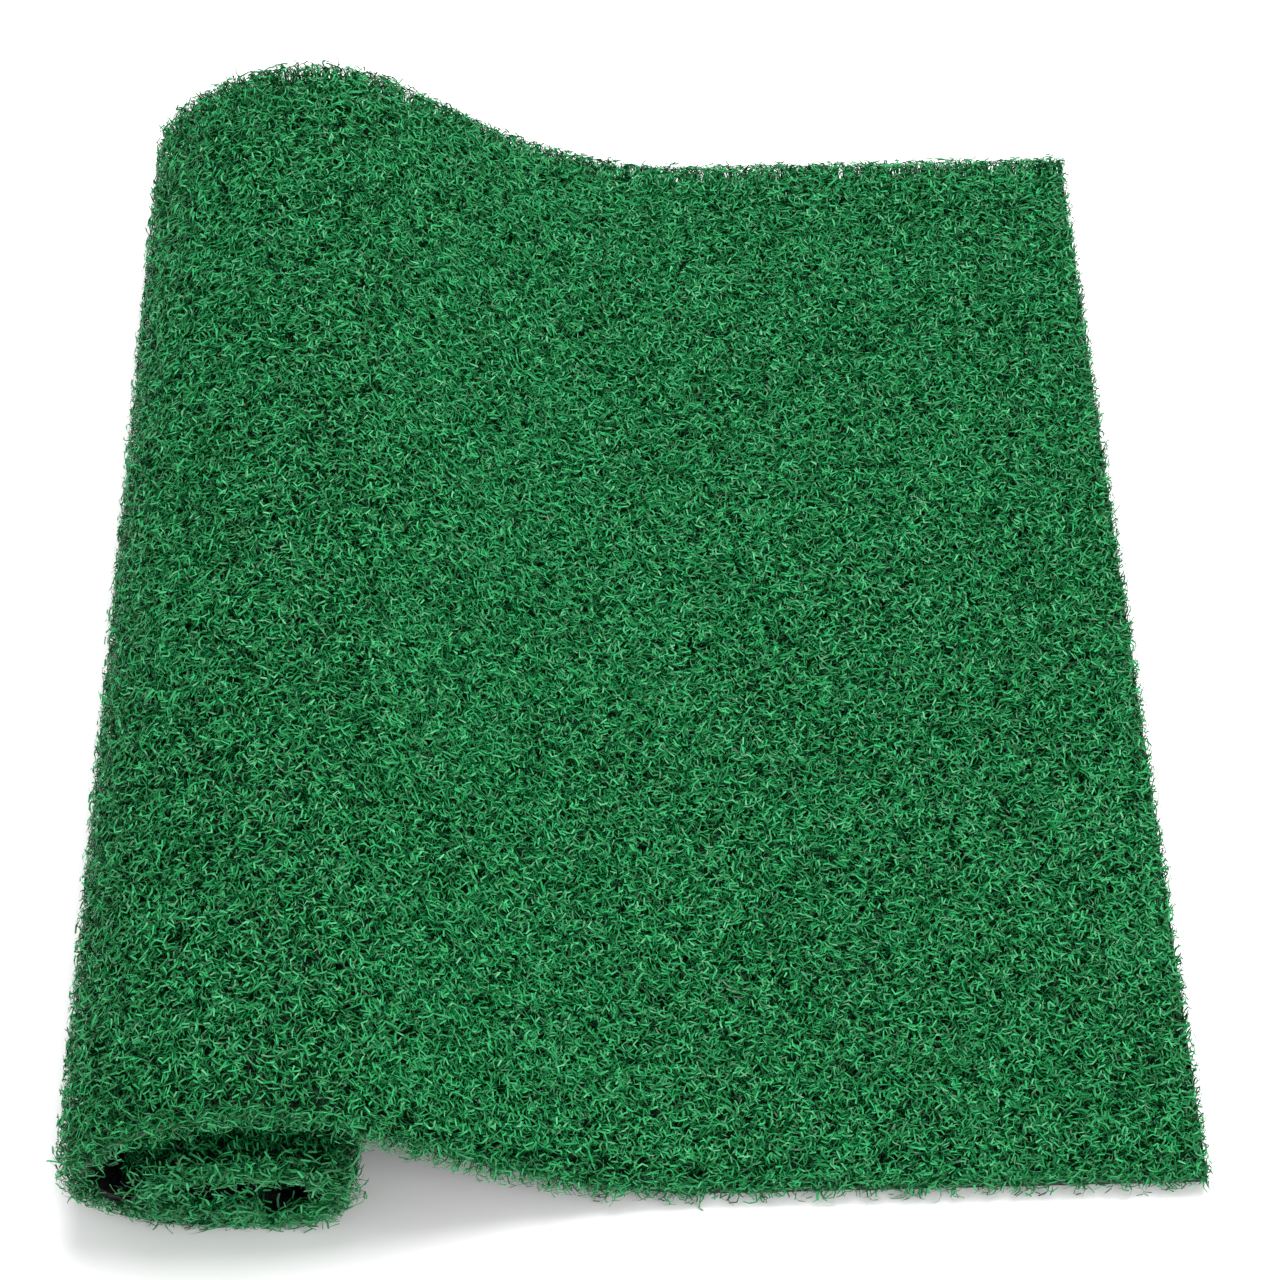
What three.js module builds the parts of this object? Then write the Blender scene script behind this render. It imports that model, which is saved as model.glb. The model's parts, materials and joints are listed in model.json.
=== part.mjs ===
// A practice putting mat, partly rolled up: short artificial turf on a woven cloth
// with a rubber coat. Millimetres. X runs along the strip, Y across it and Z up.
// The flat end is towards +X and the roll towards -X, with the turf on the outside.
//
// The mat is one flexible sheet of three bonded layers. It is divided across its length
// into strips. Each strip hinges on the one before it along a line on the underside,
// so the chain bends as the sheet does: up from the flat run, over the crest and round
// the roll. Where the underside is the inside of the bend, the strips' ends are square,
// and they close up when the mat is laid flat. Where it is the outside, they are mitred.

import * as THREE from 'three';

const { degToRad } = THREE.MathUtils;

// The sheet and its layers, from the floor up
const matWidth = 500;
const rubberThickness = 2.2;
const clothThickness = 0.8;
const pileHeight = 9;
const rolledPileHeight = 7.4; // where the pile lies between two turns of the roll
const pressedPileHeight = 5; // where it carries the roll on the floor
const bondGap = 0.1; // between bonded layers
const hingeSetback = 0.25; // of a strip's end from its hinge line

// The flat run, and the rise from it up to the crest of the roll: each strip's bend in
// degrees and its length. The last one reaches as far up as the roll needs.
const flatLength = 177;
const riseStrips = [
  { bend: 11.5, length: 33 },
  { bend: 11.5, length: 33 },
  { bend: 9.6, length: 75 },
];

// The roll has sagged. Its outer turn is a wide low oval, and the turn inside has sunk
// down on it, with a gap left above.
const outerStrips = [
  { bend: -33.9, length: 35 },
  { bend: -23.8, length: 28.7 },
  { bend: -23.1, length: 18.8 },
  { bend: -63.2, length: 15 },
];
const floorStrips = [
  { bend: -40.9, length: 23.7 },
  { bend: -27.7, length: 38 },
  { bend: -25, length: 16.5 },
];
const innerStrips = [
  { bend: -41, length: 9.9 },
  { bend: -65.1, length: 10.6 },
  { bend: -37.8, length: 18.3 },
  { bend: -15.4, length: 26.1 },
  { bend: -22.2, length: 12.3 },
  { bend: -68.6, length: 5.5 },
  { bend: -73.5, length: 12.8 },
  { bend: -12.6, length: 22 },
];

const backingThickness = rubberThickness + clothThickness;
const levelCosine = -0.9999; // of the slope of the strip that lies upside down on the floor

const colours = {
  pile: new THREE.MeshStandardMaterial({ color: 0x1f7a3d, roughness: 0.6, metalness: 0 }),
  cloth: new THREE.MeshStandardMaterial({ color: 0x1c1d1f, roughness: 0.7, metalness: 0 }),
  rubber: new THREE.MeshStandardMaterial({ color: 0x101113, roughness: 0.55, metalness: 0 }),
};

// Every strip in order: its name, its bend from the strip before (up is positive), the
// slope that gives it, its length from hinge to hinge and its height of pile.
function planStrips() {
  const strips = [{ name: 'flat', bend: 0, slope: 0, length: flatLength, yarn: pileHeight }];
  const addStrip = (name, { bend, length }, yarn) => {
    const slope = strips[strips.length - 1].slope + degToRad(bend);
    strips.push({ name, bend: degToRad(bend), slope, length, yarn });
  };
  riseStrips.forEach((strip, i) => addStrip(`rise_${i + 1}`, strip, pileHeight));
  const roll = [
    [outerStrips, pileHeight],
    [floorStrips, pressedPileHeight],
    [innerStrips, rolledPileHeight],
  ];
  for (const [part, yarn] of roll) {
    for (const strip of part) {
      const place = strips.length - riseStrips.length;
      addStrip(`roll_${String(place).padStart(2, '0')}`, strip, yarn);
    }
  }

  // The last rising strip is as long as it takes for the roll to rest its pile on the floor.
  const firstRoll = riseStrips.length + 1;
  const onTheFloor = strips.findIndex((s) => Math.cos(s.slope) < levelCosine);
  const heightOf = (part) => part.reduce((sum, s) => sum + s.length * Math.sin(s.slope), 0);
  const belowTheCrest = -heightOf(strips.slice(firstRoll, onTheFloor));
  const risenSoFar = heightOf(strips.slice(0, riseStrips.length));
  const restingHeight = backingThickness + pressedPileHeight;
  const lastRise = strips[riseStrips.length];
  lastRise.length = (belowTheCrest + restingHeight - risenSoFar) / Math.sin(lastRise.slope);
  return strips;
}

// One layer of one strip, from height low to height high above the hinge lines.
function layerGeometry(strip, nextStrip, low, high) {
  const mitre = (bend, height) => height * Math.tan(Math.max(bend, 0) / 2);
  const start = (height) => (strip.bend === 0 ? 0 : -hingeSetback - mitre(strip.bend, height));
  const end = (height) => {
    const room = nextStrip ? hingeSetback + mitre(nextStrip.bend, height) : 0;
    return room - strip.length;
  };
  const outline = new THREE.Shape([
    new THREE.Vector2(end(low), low),
    new THREE.Vector2(start(low), low),
    new THREE.Vector2(start(high), high),
    new THREE.Vector2(end(high), high),
  ]);
  const geometry = new THREE.ExtrudeGeometry(outline, { depth: matWidth, bevelEnabled: false });
  geometry.rotateX(Math.PI / 2);
  geometry.translate(0, matWidth / 2, 0);
  return geometry;
}

function addLayer(group, layer, strip, nextStrip, low, high) {
  const mesh = new THREE.Mesh(layerGeometry(strip, nextStrip, low, high), colours[layer]);
  mesh.name = `${layer}_${strip.name}`;
  group.add(mesh);
}

function buildMat() {
  const mat = new THREE.Group();
  const strips = planStrips();
  let carrier = mat;
  strips.forEach((strip, i) => {
    const hinge = new THREE.Group();
    hinge.position.x = i === 0 ? 0 : -strips[i - 1].length;
    hinge.rotation.y = strip.bend;
    carrier.add(hinge);
    carrier = hinge;

    const nextStrip = strips[i + 1];
    addLayer(hinge, 'rubber', strip, nextStrip, 0, rubberThickness);
    addLayer(hinge, 'cloth', strip, nextStrip, rubberThickness + bondGap, backingThickness);
    addLayer(hinge, 'pile', strip, nextStrip, backingThickness + bondGap, backingThickness + strip.yarn);
  });

  const box = new THREE.Box3().setFromObject(mat);
  mat.position.x = -(box.min.x + box.max.x) / 2;
  return mat;
}

const group = buildMat();

export default group;
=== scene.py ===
# A practice putting mat, partly rolled up with its turf outwards: curled turf yarn tufted
# through a woven cloth, with a rubber coat underneath. The three layers are bonded into
# one flexible sheet, 500 mm wide, that bends along the lines of the model's joints.

import json
import math

import bmesh
import bpy
import numpy as np
from mathutils import Matrix, Vector


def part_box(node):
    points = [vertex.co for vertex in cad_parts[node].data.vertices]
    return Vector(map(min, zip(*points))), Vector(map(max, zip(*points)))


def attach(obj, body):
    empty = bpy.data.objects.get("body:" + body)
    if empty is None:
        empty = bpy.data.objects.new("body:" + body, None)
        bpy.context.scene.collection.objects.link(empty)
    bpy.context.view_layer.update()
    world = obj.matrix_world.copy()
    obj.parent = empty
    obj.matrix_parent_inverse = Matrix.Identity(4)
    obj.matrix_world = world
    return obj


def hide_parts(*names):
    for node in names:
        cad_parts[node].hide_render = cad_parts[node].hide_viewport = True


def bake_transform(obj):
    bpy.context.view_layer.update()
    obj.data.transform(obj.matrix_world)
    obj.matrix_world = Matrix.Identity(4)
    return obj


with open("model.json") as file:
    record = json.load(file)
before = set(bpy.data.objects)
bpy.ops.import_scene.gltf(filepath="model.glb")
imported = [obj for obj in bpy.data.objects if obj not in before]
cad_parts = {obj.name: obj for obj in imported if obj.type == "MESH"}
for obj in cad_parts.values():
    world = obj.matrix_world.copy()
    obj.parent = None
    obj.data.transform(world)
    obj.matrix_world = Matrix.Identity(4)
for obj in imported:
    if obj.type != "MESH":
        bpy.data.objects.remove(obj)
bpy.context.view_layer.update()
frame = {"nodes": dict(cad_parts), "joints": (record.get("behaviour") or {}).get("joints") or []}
rng = np.random.default_rng(11)

# The run of the sheet ---------------------------------------------------------------
# The underside of the mat is one smooth line: flat on the floor, up a gentle rise, over
# the crest and round the roll. It bends about the hinge lines of the joints.

joints = frame["joints"]
flat_low, flat_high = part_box("rubber_flat")
mat_width = flat_high[1] - flat_low[1]
bends = [math.radians(j["range_deg"][1]) * -j["axis"][1] for j in joints]
slopes = np.concatenate([[0.0], np.cumsum(bends)])
headings = [np.array([-math.cos(a), math.sin(a)]) for a in slopes]
corners = [np.array([flat_high[0], flat_low[2]])]
corners += [np.array([j["pos_m"][0], j["pos_m"][2]]) for j in joints]
last_strip = frame["nodes"]["rubber_" + joints[-1]["child"]].data.vertices
last_points = np.array([(v.co.x, v.co.z) for v in last_strip])
last_length = ((last_points - corners[-1]) @ headings[-1]).max()
corners.append(corners[-1] + last_length * headings[-1])
sides = [float(np.linalg.norm(b - a)) for a, b in zip(corners, corners[1:])]
turns = [min(a, b) / 2 for a, b in zip(sides, sides[1:])]  # how far each bend reaches

points_per_bend = 25
line = [corners[0]]  # points along the underside
line_slopes = [0.0]
marks = [0]  # where one bend's share of the sheet ends and the next one's begins
for k, (hinge, reach) in enumerate(zip(corners[1:-1], turns)):
    start, end = hinge - reach * headings[k], hinge + reach * headings[k + 1]
    for t in np.linspace(0, 1, points_per_bend):
        line.append((1 - t) ** 2 * start + 2 * t * (1 - t) * hinge + t * t * end)
        line_slopes.append(slopes[k] + (slopes[k + 1] - slopes[k]) * t)
    middle = hinge + sides[k + 1] / 2 * headings[k + 1]
    line.append(middle)
    line_slopes.append(slopes[k + 1])
    marks.append(len(line) - 1)
line.append(corners[-1])
line_slopes.append(slopes[-1])
marks[-1] = len(line) - 1
line = np.array(line)
line_slopes = np.array(line_slopes)
travelled = np.concatenate([[0.0], np.cumsum(np.linalg.norm(np.diff(line, axis=0), axis=1))])
mat_length = travelled[-1]


def on_the_mat(along, across, height):
    """Points at a distance along the sheet and across it, and at a height over its underside."""
    slope = np.interp(along, travelled, line_slopes)
    x = np.interp(along, travelled, line[:, 0]) + height * np.sin(slope)
    z = np.interp(along, travelled, line[:, 1]) + height * np.cos(slope)
    return np.stack([x, across + 0 * x, z], -1)


# Each stretch of the sheet: its name, where it begins and ends along the sheet, and the
# joint that bends it, or None on the flat run.
run_bands = 5
bend_begins = travelled[1]
stretches = []
for i in range(run_bands):
    begin, end = bend_begins * i / run_bands, bend_begins * (i + 1) / run_bands
    stretches.append((f"run_{i + 1}", begin, end, None))
for k, joint in enumerate(joints):
    begin, end = end, travelled[marks[k + 1]]
    stretches.append((joint["child"], begin, end, k))

# The roll was wound a little askew: its edges creep towards its -Y end turn by turn, and
# it stands a little taller at the other end.
creep = 0.007
inner_creep = 1.3 * creep
taper = 0.085
creep_marks = [travelled[marks[2]], travelled[marks[9]], mat_length]


def as_wound(along, points):
    """The same points, moved to where the askew winding puts them."""
    crept = np.interp(along, creep_marks, [0, creep, inner_creep])
    points[..., 2] *= 1 + taper * (0.5 + points[..., 1] / mat_width)
    points[..., 1] -= crept
    return points


# The roll stands on the strip that lies upside down, and on half of each one beside it.
level_cosine = -0.9999
on_the_floor = int(np.argmax(np.cos(slopes) < level_cosine))
marks_of_floor = marks[on_the_floor - 1], marks[on_the_floor + 1]


def hold(piece, bend):
    """The piece on the flat run hangs from the root; one across a joint has its placing baked
    into its mesh.
    """
    if bend is None:
        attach(piece, "root")
        return
    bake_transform(piece)


# The rubber coat --------------------------------------------------------------------
# A thin coat of black foamed rubber, spread on the back of the cloth and cured there. It
# shows as the black edge under the turf and as the whole underside.

rubber_thickness = 0.0022
raggedness = 0.00012
columns = 41
row_spacing = 0.0016
edge_tolerance = 0.0001
least_cosine = 0.7  # between the sheet's normal and that of a face of its top or underside


def normal_at(along):
    """The direction away from the underside, at a distance along the sheet."""
    slope = np.interp(along, travelled, line_slopes)
    return Vector((math.sin(slope), 0, math.cos(slope)))


def layer(name, begin, end, low, high, material, ragged):
    """One stretch of one layer, from height low to height high over the underside."""
    along = np.linspace(begin, end, max(4, round((end - begin) / row_spacing)) + 1)
    across = np.linspace(-mat_width / 2, mat_width / 2, columns)
    bm = bmesh.new()
    verts = [bm.verts.new(p) for p in on_the_mat(np.full(columns, begin), across, low)]
    edges = [bm.edges.new(pair) for pair in zip(verts, verts[1:])]
    for here, there in zip(along, along[1:]):
        moved = bmesh.ops.extrude_edge_only(bm, edges=edges)["geom"]
        edges = [g for g in moved if isinstance(g, bmesh.types.BMEdge)]
        verts = [g for g in moved if isinstance(g, bmesh.types.BMVert)]
        shift = on_the_mat(there, 0.0, low) - on_the_mat(here, 0.0, low)
        bmesh.ops.translate(bm, verts=verts, vec=shift)
    bm.faces.ensure_lookup_table()
    if bm.faces[0].normal.dot(normal_at(along[1] / 2 + begin / 2)) > 0:
        bmesh.ops.reverse_faces(bm, faces=bm.faces[:])
    bmesh.ops.solidify(bm, geom=bm.faces[:], thickness=high - low)
    bmesh.ops.recalc_face_normals(bm, faces=bm.faces[:])
    uv = bm.loops.layers.uv.new("Sheet")
    line_here = on_the_mat(along, 0.0, (low + high) / 2)

    def row_at(point):
        return np.argmin(np.hypot(line_here[:, 0] - point.x, line_here[:, 2] - point.z))

    for v in bm.verts:
        place = (along[row_at(v.co)], v.co.y)
        for loop in v.link_loops:
            loop[uv].uv = place
    for face in bm.faces:
        row = row_at(face.calc_center_median())
        face.smooth = abs(face.normal.dot(normal_at(along[row]))) > least_cosine
    for edge in bm.edges:
        edge.smooth = all(face.smooth for face in edge.link_faces)
    wander = rng.normal(0, ragged, (len(along), 2))
    for v in bm.verts:
        row = row_at(v.co)
        if abs(v.co.y) > mat_width / 2 - edge_tolerance:
            v.co.y += wander[row, int(v.co.y > 0)]
        v.co = as_wound(along[row], np.array(v.co))
    mesh = bpy.data.meshes.new(name)
    bm.to_mesh(mesh)
    bm.free()
    piece = bpy.data.objects.new(name, mesh)
    bpy.context.collection.objects.link(piece)
    mesh.materials.append(material)
    return piece


def node_material(name, roughness, specular):
    """A new material: its node tree, for adding to, and its shader."""
    material = bpy.data.materials.new(name)
    material.use_nodes = True
    shader = material.node_tree.nodes["Principled BSDF"]
    shader.inputs["Roughness"].default_value = roughness
    shader.inputs["Specular IOR Level"].default_value = specular
    return material, material.node_tree, shader


rubber, tree, shader = node_material("foamed_rubber", 0.4, 0.6)
place = tree.nodes.new("ShaderNodeTexCoord")
blotches = tree.nodes.new("ShaderNodeTexNoise")
blotches.inputs["Scale"].default_value = 180
blotches.inputs["Detail"].default_value = 4
pores = tree.nodes.new("ShaderNodeTexVoronoi")
pores.inputs["Scale"].default_value = 1400
for texture in (blotches, pores):
    tree.links.new(place.outputs["Object"], texture.inputs["Vector"])
black = tree.nodes.new("ShaderNodeValToRGB")
black.color_ramp.elements[0].position = 0.35
black.color_ramp.elements[0].color = (0.002, 0.002, 0.0025, 1)
black.color_ramp.elements[1].position = 0.7
black.color_ramp.elements[1].color = (0.009, 0.009, 0.0105, 1)
tree.links.new(blotches.outputs["Fac"], black.inputs["Fac"])
tree.links.new(black.outputs["Color"], shader.inputs["Base Color"])
gloss = tree.nodes.new("ShaderNodeMapRange")
gloss.inputs["From Min"].default_value = 0.35
gloss.inputs["From Max"].default_value = 0.65
gloss.inputs["To Min"].default_value = 0.16
gloss.inputs["To Max"].default_value = 0.55
tree.links.new(blotches.outputs["Fac"], gloss.inputs["Value"])
tree.links.new(gloss.outputs["Result"], shader.inputs["Roughness"])
skin = tree.nodes.new("ShaderNodeBump")
skin.inputs["Strength"].default_value = 0.5
skin.inputs["Distance"].default_value = 0.0003
tree.links.new(pores.outputs["Distance"], skin.inputs["Height"])
wrinkles = tree.nodes.new("ShaderNodeBump")
wrinkles.inputs["Strength"].default_value = 0.6
wrinkles.inputs["Distance"].default_value = 0.0012
tree.links.new(blotches.outputs["Fac"], wrinkles.inputs["Height"])
tree.links.new(skin.outputs["Normal"], wrinkles.inputs["Normal"])
tree.links.new(wrinkles.outputs["Normal"], shader.inputs["Normal"])

for name, begin, end, bend in stretches:
    piece = layer("rubber_coat_" + name, begin, end, 0.0, rubber_thickness, rubber, raggedness)
    hold(piece, bend)
    if name == "run_1" or bend is not None:
        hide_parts("rubber_" + ("flat" if bend is None else name))

# The woven cloth --------------------------------------------------------------------
# Plain-woven flat tape, black, that the yarn is tufted through. It shows only as a line
# of the cut edge, between the rubber and the turf, and darkly between the yarn's roots.

cloth_top = 0.003
cloth_bottom = rubber_thickness + 0.00004
cloth_raggedness = 0.0002
tape_width = 0.0013
cloth, tree, shader = node_material("woven_tape", 0.5, 0.25)
sheet_map = tree.nodes.new("ShaderNodeUVMap")
sheet_map.uv_map = "Sheet"
weave = tree.nodes.new("ShaderNodeMath")
weave.operation = "MAXIMUM"
for i, direction in enumerate("XY"):
    tapes = tree.nodes.new("ShaderNodeTexWave")
    tapes.bands_direction = direction
    tapes.inputs["Scale"].default_value = math.pi / 10 / tape_width
    tapes.inputs["Distortion"].default_value = 0.6
    tree.links.new(sheet_map.outputs["UV"], tapes.inputs["Vector"])
    tree.links.new(tapes.outputs["Fac"], weave.inputs[i])
tape_colour = tree.nodes.new("ShaderNodeValToRGB")
tape_colour.color_ramp.elements[0].color = (0.001, 0.004, 0.0015, 1)
tape_colour.color_ramp.elements[1].color = (0.003, 0.018, 0.006, 1)
tree.links.new(weave.outputs["Value"], tape_colour.inputs["Fac"])
tree.links.new(tape_colour.outputs["Color"], shader.inputs["Base Color"])
crossings = tree.nodes.new("ShaderNodeBump")
crossings.inputs["Strength"].default_value = 0.7
crossings.inputs["Distance"].default_value = 0.0003
tree.links.new(weave.outputs["Value"], crossings.inputs["Height"])
tree.links.new(crossings.outputs["Normal"], shader.inputs["Normal"])

for name, begin, end, bend in stretches:
    piece_name = "cloth_" + name + "_weave"
    piece = layer(piece_name, begin, end, cloth_bottom, cloth_top, cloth, cloth_raggedness)
    hold(piece, bend)
    if name == "run_1" or bend is not None:
        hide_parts("cloth_" + ("flat" if bend is None else name))

# The turf yarn ----------------------------------------------------------------------
# Flat green yarn that was knitted, set and unravelled, so that every end stays curled.
# It is tufted through the cloth and cut a little under 9 mm high.

yarn_width = 0.0006
yarn_parts = 4
root_length = 0.0036
part_lengths = 0.002, 0.003
yarn_heights = 0.0066, 0.009
yarn_kinds = 64
first_leans = 0, 0.6  # from upright, in radians
added_leans = 0.25, 0.85  # by each part
last_leans = 1.35, 1.75
swings = 0.4, 1.5  # of the heading, from each part to the next
most_twist = 0.6


def curled_yarn():
    """One end of yarn rooted at the origin: its corners and its faces."""
    bm = bmesh.new()
    ends = [bm.verts.new((x, 0, 0)) for x in (-yarn_width / 2, yarn_width / 2)]
    edge = bm.edges.new(ends)
    lean, heading = rng.uniform(*first_leans), rng.uniform(0, 2 * math.pi)
    facing = Matrix.Rotation(heading + rng.uniform(0.3, 0.7) * math.pi, 3, "Z")
    bmesh.ops.rotate(bm, verts=ends, cent=(0, 0, 0), matrix=facing)
    swing = rng.choice([-1, 1]) * rng.uniform(*swings)
    middle = Vector((0, 0, 0))
    for part in range(yarn_parts):
        moved = bmesh.ops.extrude_edge_only(bm, edges=[edge])["geom"]
        edge = next(g for g in moved if isinstance(g, bmesh.types.BMEdge))
        sideways = math.sin(lean)
        stride = Vector(
            (sideways * math.cos(heading), sideways * math.sin(heading), math.cos(lean))
        )
        step = stride * (root_length if part == 0 else rng.uniform(*part_lengths))
        middle += step
        bmesh.ops.translate(bm, verts=edge.verts[:], vec=step)
        turn = Matrix.Rotation(rng.uniform(-most_twist, most_twist), 3, stride)
        bmesh.ops.rotate(bm, verts=edge.verts[:], cent=middle, matrix=turn)
        lean = min(lean + rng.uniform(*added_leans), rng.uniform(*last_leans))
        heading += swing * rng.uniform(0.5, 1.5)
    bm.verts.ensure_lookup_table()
    points = np.array([v.co for v in bm.verts])
    faces = np.array([[v.index for v in f.verts] for f in bm.faces])
    bm.free()
    points[:, 2] *= rng.uniform(*yarn_heights) / points[:, 2].max()
    return points, faces


yarns = [curled_yarn() for _ in range(yarn_kinds)]
yarn_faces = yarns[0][1]
yarn_shapes = np.array([shape for shape, _ in yarns])

# Across its map each end of yarn has a tone of its own, partly painted light by its height,
# and painted shade darkens it towards its root.
green, tree, shader = node_material("curled_green_yarn", 0.36, 0.3)
tone_map = tree.nodes.new("ShaderNodeUVMap")
tone_map.uv_map = "OFBake"
split = tree.nodes.new("ShaderNodeSeparateXYZ")
tree.links.new(tone_map.outputs["UV"], split.inputs["Vector"])
# Painted light and shade: its dark end is for short, shaded ends of yarn, its light end for tall,
# lit ones.
tones = tree.nodes.new("ShaderNodeValToRGB")
tree.links.new(split.outputs["X"], tones.inputs["Fac"])
tones.color_ramp.elements[0].color = (0.001, 0.05, 0.011, 1)
tones.color_ramp.elements[1].color = (0.027, 0.385, 0.124, 1)
middle_tone = tones.color_ramp.elements.new(0.5)
middle_tone.color = (0.0055, 0.195, 0.048, 1)
# Painted shade: each end of yarn is painted darker towards its root, where the pile shades it.
painted_root_shade = tree.nodes.new("ShaderNodeValToRGB")
tree.links.new(split.outputs["Y"], painted_root_shade.inputs["Fac"])
painted_root_shade.color_ramp.elements[0].color = (0.05, 0.2, 0.08, 1)
painted_root_shade.color_ramp.elements[1].color = (1, 1, 1, 1)
painted_root_shade.color_ramp.elements[1].position = 0.75
mix = tree.nodes.new("ShaderNodeMix")
mix.data_type = "RGBA"
mix.blend_type = "MULTIPLY"
mix.inputs["Factor"].default_value = 1.0
tree.links.new(tones.outputs["Color"], mix.inputs["A"])
tree.links.new(painted_root_shade.outputs["Color"], mix.inputs["B"])
tree.links.new(mix.outputs["Result"], shader.inputs["Base Color"])

# The pile's height along the sheet, as a share of its full height: it is pressed where
# the roll stands on it, and a little between the turns.
pressed_share = 0.56
between_share = 0.8
floor_begins, floor_ends = (travelled[m] for m in marks_of_floor)
before, within = 0.02, 0.008  # how far it takes to press down, either side of the marks
height_marks = [floor_begins - before, floor_begins + within]
height_marks += [floor_ends - within, floor_ends + before]
height_shares = [1, pressed_share, pressed_share, between_share]

yarns_per_m2 = 690000
fringe_per_m = 10000  # more yarn at the two long cut edges, which hangs over them
inner_fringe = 1.6  # times as much of it on the inner turn
inner_begins = travelled[marks[8]]
edge_inset = 0.0003
fringe_inset = 0.002
fringe_depth = 0.0045
least_height = 0.0003

# How far the fringe falls outwards, in radians: on the flat run, and what the rise and
# the inner turn add to that.
rise_length = 0.05
inner_length = 0.02
least_fall, least_raised, least_inner = 0.1, 0.35, 0.5
most_fall, most_raised, most_inner = 1.6, 0.9, 0.6
inner_longer = 0.35
held_at_edge = 0.35, 0.05  # the share of its overhang, and how much less on the rise
held_at_end = 0.65  # and at the two ends of the mat

# Painted light and shade: the tallest ends, on top, are painted lightest, and the short ones
# between them, in their shade, darkest.
painted_light_heights = 0.006, 0.0092
painted_light_range = 0.08, 0.92
tone_spread = 0.09
map_reach = 0.002
fringe_light = 0.55


def plant(name, begin, end):
    """All the yarn of one stretch, each end of it turned, leaned and scaled by chance."""
    count = int((end - begin) * mat_width * yarns_per_m2)
    along = rng.uniform(begin, end, count)
    across = rng.uniform(-1, 1, count) * (mat_width / 2 - edge_inset)
    thick = inner_fringe if begin > inner_begins else 1
    fringe = rng.uniform(begin, end, int((end - begin) * fringe_per_m * thick))
    along = np.concatenate([along, fringe])
    side_of = np.where(np.arange(len(fringe)) % 2, 1, -1)
    inset = rng.uniform(edge_inset, fringe_inset, len(fringe))
    across = np.concatenate([across, side_of * (mat_width / 2 - inset)])
    count = len(along)
    kinds = rng.integers(0, yarn_kinds, count)
    shape = yarn_shapes[kinds] * rng.uniform(0.85, 1.05, (count, 1, 1))
    turn = rng.uniform(0, 2 * math.pi, (count, 1))
    ahead = shape[:, :, 0] * np.cos(turn) - shape[:, :, 1] * np.sin(turn)
    side = shape[:, :, 0] * np.sin(turn) + shape[:, :, 1] * np.cos(turn)
    tall = shape[:, :, 2] * np.interp(along, height_marks, height_shares)[:, None]

    # Yarn near a cut edge has nothing beside it, and falls outwards over the edge.
    edge_gap = np.clip((mat_width / 2 - np.abs(across)) / fringe_depth, 0, 1)
    raised = np.clip((along - bend_begins) / rise_length, 0, 1)
    inner = np.clip((along - inner_begins) / inner_length, 0, 1)
    least = least_fall + least_raised * raised + least_inner * inner
    most = most_fall + most_raised * raised + most_inner * inner
    fall = np.sign(across) * (1 - edge_gap) * rng.uniform(least, most)
    cosine, sine = np.cos(fall)[:, None], np.sin(fall)[:, None]
    side, tall = side * cosine + tall * sine, tall * cosine - side * sine
    longer = 1 + inner_longer * (inner * (1 - edge_gap))[:, None]
    side, tall, ahead = side * longer, tall * longer, ahead * longer
    past_edge = np.maximum(np.abs(across[:, None] + side) - mat_width / 2, 0)
    held = (held_at_edge[0] - held_at_edge[1] * raised)[:, None]
    side -= np.sign(across)[:, None] * past_edge * held
    reached = along[:, None] + ahead
    past_end = np.maximum(-reached, 0) + np.maximum(reached - mat_length, 0)
    ahead += np.sign(mat_length / 2 - along)[:, None] * past_end * held_at_end

    slope = np.interp(along, travelled, line_slopes)[:, None]
    root = on_the_mat(along, across, cloth_top)
    x = root[:, 0:1] - ahead * np.cos(slope) + tall * np.sin(slope)
    y = root[:, 1:2] + side
    z = np.maximum(root[:, 2:3] + ahead * np.sin(slope) + tall * np.cos(slope), least_height)
    co = as_wound(along[:, None], np.stack([x, y, z], -1)).reshape(-1, 3)
    per = shape.shape[1]
    faces = (yarn_faces[None] + (np.arange(count) * per)[:, None, None]).reshape(-1, 4)
    mesh = bpy.data.meshes.new(name)
    mesh.vertices.add(len(co))
    mesh.vertices.foreach_set("co", co.ravel())
    mesh.loops.add(faces.size)
    mesh.loops.foreach_set("vertex_index", faces.ravel())
    mesh.polygons.add(len(faces))
    mesh.polygons.foreach_set("loop_start", np.arange(0, faces.size, 4))
    mesh.polygons.foreach_set("use_smooth", np.ones(len(faces), bool))
    mesh.update(calc_edges=True)

    # Painted light by height, with a random tone of each end's own added to it.
    tone = np.interp(shape[:, :, 2].max(1), painted_light_heights, painted_light_range)
    tone = np.clip(tone + rng.normal(0, tone_spread, count), 0.01, 0.99)
    u = tone[:, None] + np.tile([-map_reach, map_reach], per // 2)[None]
    v = np.repeat(np.arange(per // 2) / (per // 2 - 1), 2)[None] + 0 * u
    # Less painted root shade at a cut edge, where the roots stand out in the light.
    v += (1 - v) * fringe_light * (1 - edge_gap)[:, None]  # the roots show at a cut edge
    uv = mesh.uv_layers.new(name="OFBake")
    loops = faces.ravel()
    uv.data.foreach_set("uv", np.stack([u.ravel()[loops], v.ravel()[loops]], -1).ravel())
    mesh.materials.append(green)
    piece = bpy.data.objects.new(name, mesh)
    bpy.context.collection.objects.link(piece)
    return piece


for name, begin, end, bend in stretches:
    piece = plant("turf_" + name, begin, end)
    hold(piece, bend)
    if name == "run_1" or bend is not None:
        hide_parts("pile_" + ("flat" if bend is None else name))

# Where it stands ---------------------------------------------------------------------
# A plain pale floor, white enough to leave only a faint shadow, under soft studio light
# from above and behind, with a weaker one in front for the end of the roll.

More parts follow.
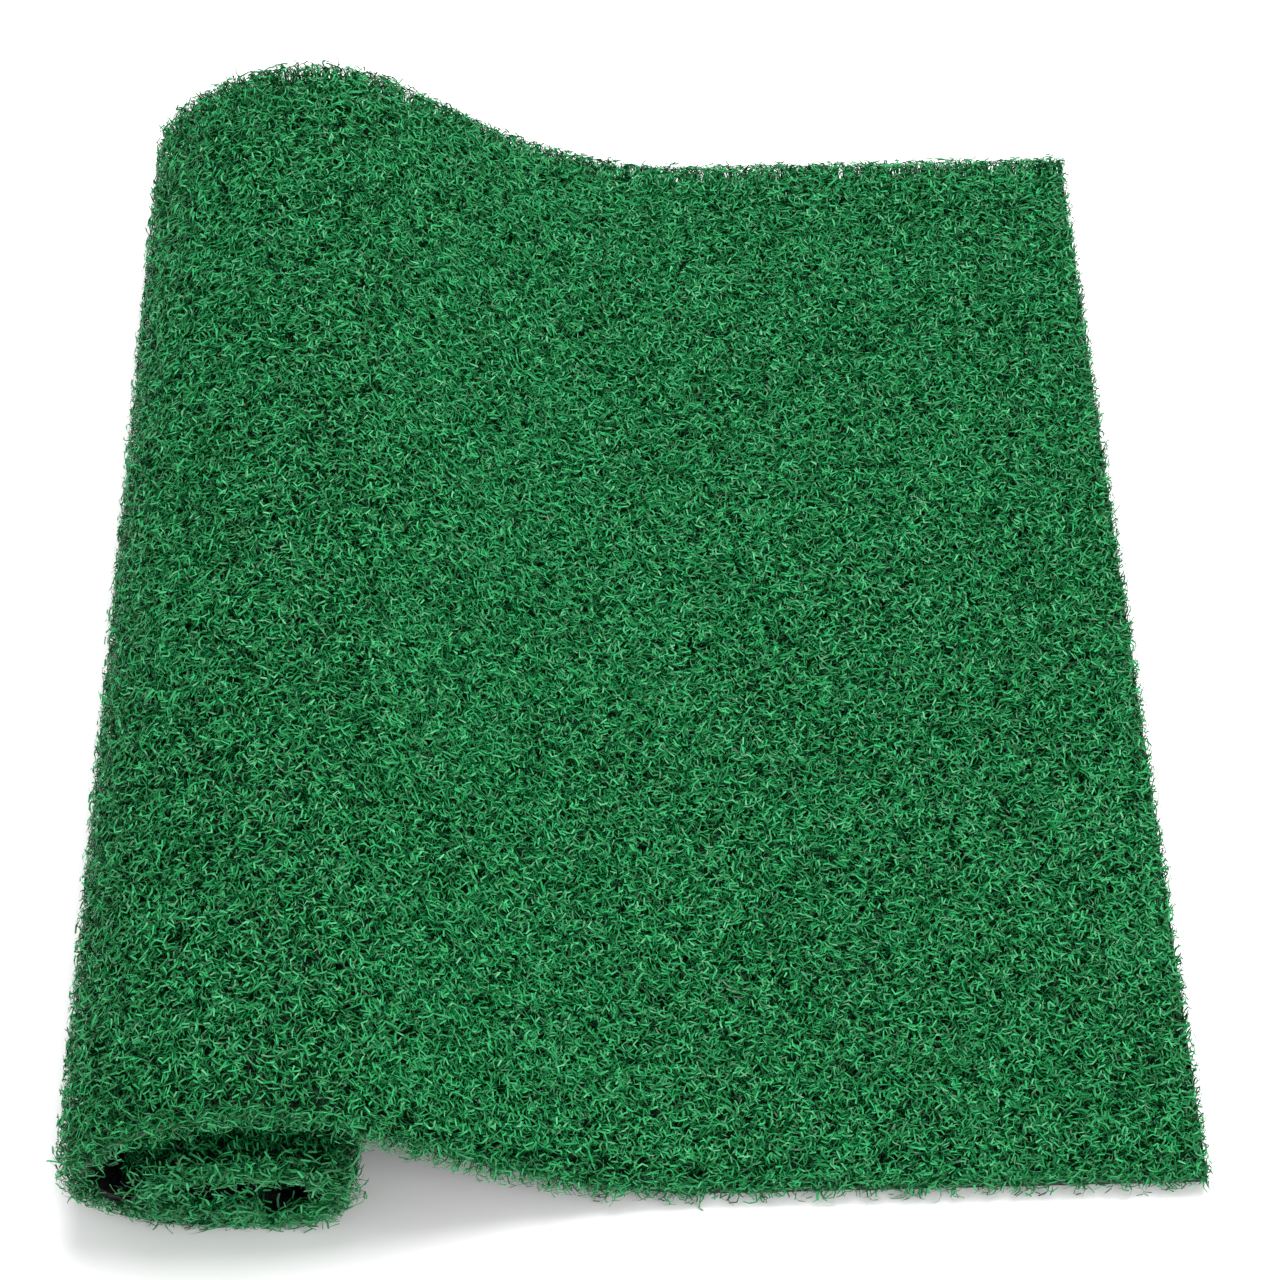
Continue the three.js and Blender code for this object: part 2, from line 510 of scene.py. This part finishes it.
floor_size = 6
bm = bmesh.new()
bmesh.ops.create_grid(bm, x_segments=1, y_segments=1, size=floor_size)
floor_mesh = bpy.data.meshes.new("floor")
bm.to_mesh(floor_mesh)
bm.free()
floor = bpy.data.objects.new("floor", floor_mesh)
bpy.context.collection.objects.link(floor)
pale, tree, shader = node_material("pale_floor", 0.6, 0.5)
shader.inputs["Base Color"].default_value = (0.93, 0.93, 0.93, 1)
floor_mesh.materials.append(pale)


def soft_light(name, place, target, size, power):
    data = bpy.data.lights.new(name, "AREA")
    data.shape = "DISK"
    data.size = size
    data.energy = power
    light = bpy.data.objects.new(name, data)
    light.location = place
    light.rotation_euler = (Vector(target) - Vector(place)).to_track_quat("-Z", "Y").to_euler()
    bpy.context.collection.objects.link(light)


soft_light("overhead_light", (0.2, 0.6, 2.1), (0, 0, 0), 1.4, 52)
soft_light("front_light", (1.1, -1.5, 1.3), (0, 0, 0), 1.5, 20)
world = bpy.data.worlds.new("studio")
world.use_nodes = True
world.node_tree.nodes["Background"].inputs["Color"].default_value = (1, 1, 1, 1)
world.node_tree.nodes["Background"].inputs["Strength"].default_value = 0.74
bpy.context.scene.world = world
bpy.context.scene.view_settings.view_transform = "Standard"

# The camera --------------------------------------------------------------------------
# It looks down on the mat from beyond its -Y edge with a long lens, so that the roll is
# on the left and its near end shows.

eye = (0.0003, -0.8607, 1.0207)
down = math.radians(50)
yaw = math.radians(-0.42)
roll = math.radians(-0.98)
ahead = Vector((-math.sin(yaw) * math.cos(down), math.cos(yaw) * math.cos(down), -math.sin(down)))
level = Vector((math.cos(yaw), math.sin(yaw), 0))
upward = level.cross(ahead)
right = math.cos(roll) * level + math.sin(roll) * upward
top = -math.sin(roll) * level + math.cos(roll) * upward
camera_data = bpy.data.cameras.new("camera")
camera_data.lens = 97.4
camera_data.clip_end = 20
camera = bpy.data.objects.new("camera", camera_data)
turned = Matrix((right, top, -ahead)).transposed().to_4x4()
camera.matrix_world = Matrix.Translation(eye) @ turned
bpy.context.collection.objects.link(camera)
bpy.context.scene.camera = camera
